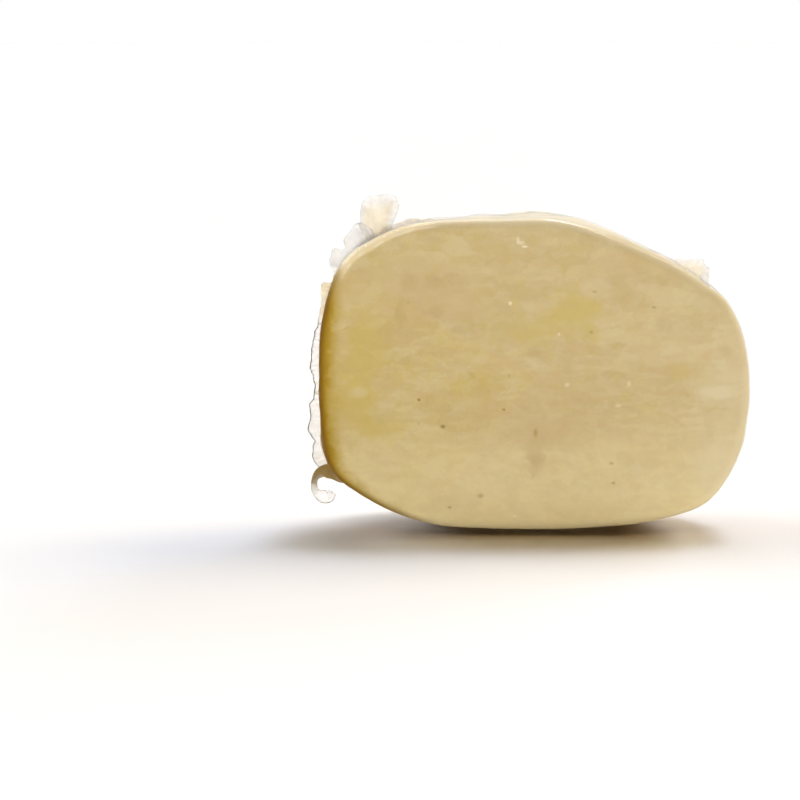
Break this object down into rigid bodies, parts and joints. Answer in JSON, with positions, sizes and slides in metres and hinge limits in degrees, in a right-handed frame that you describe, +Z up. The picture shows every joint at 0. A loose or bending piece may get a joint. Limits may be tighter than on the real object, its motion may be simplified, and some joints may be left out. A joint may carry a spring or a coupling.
{
  "type": "half wheel of pit-aged sheep's cheese in a clear shrink bag",
  "caption": "Half a low, rounded wheel of pit-aged cheese, cut face forward, in a clinging clear bag with a ruffled seam.",
  "frame": {"origin": "middle of the footprint's bounding box, on the surface that the half stands on", "axes": "+X to the right along the cut face, +Y from the cut face towards the round back, +Z up"},
  "size_m": [0.1442, 0.0712, 0.1098],
  "materials": {
    "bagged_cheese": "cream to straw-yellow cheese paste and beige, pocked rind under a clear, glossy, tightly clinging film with a whitish ruffled seam"
  },
  "bodies": {
    "root": {"bagged_half_cheese": "bagged_cheese"}
  },
  "joints": []
}
